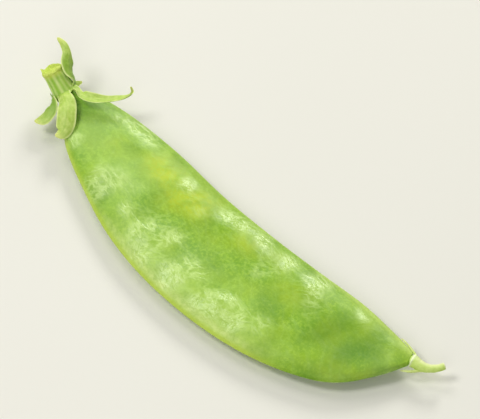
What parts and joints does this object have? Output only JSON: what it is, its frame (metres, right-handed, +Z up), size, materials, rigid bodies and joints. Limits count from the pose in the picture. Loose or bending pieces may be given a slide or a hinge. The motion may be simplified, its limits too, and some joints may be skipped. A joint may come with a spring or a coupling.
{
  "type": "snow pea pod",
  "caption": "Flat green snow pea pod lying on its side, with ribbed calyx, bent-back sepals and curved style tail.",
  "frame": {"origin": "bottom centre of the whole object's bounding box, on the surface it lies on", "axes": "+X along the pod from calyx to tail, +Y towards the straight suture, +Z up, away from the surface"},
  "size_m": [0.0948, 0.0264, 0.01],
  "materials": {
    "pod_skin": "waxy green skin with a soft sheen",
    "sepal_skin": "pale green leaf with fine veins",
    "tube_skin": "ribbed yellow-green",
    "broken_stalk": "pale torn fibre",
    "tail_skin": "pale green, satin",
    "dried_strand": "dry pale fibre"
  },
  "bodies": {
    "root": {"pod": "pod_skin", "style_tail": "tail_skin", "strand_upper": "dried_strand", "strand_lower": "dried_strand", "calyx_tube": "tube_skin", "stalk_stub": "broken_stalk", "sepal_front": "sepal_skin", "sepal_left": "sepal_skin", "sepal_right": "sepal_skin", "sepal_back": "sepal_skin", "sepal_under": "sepal_skin"}
  },
  "joints": []
}
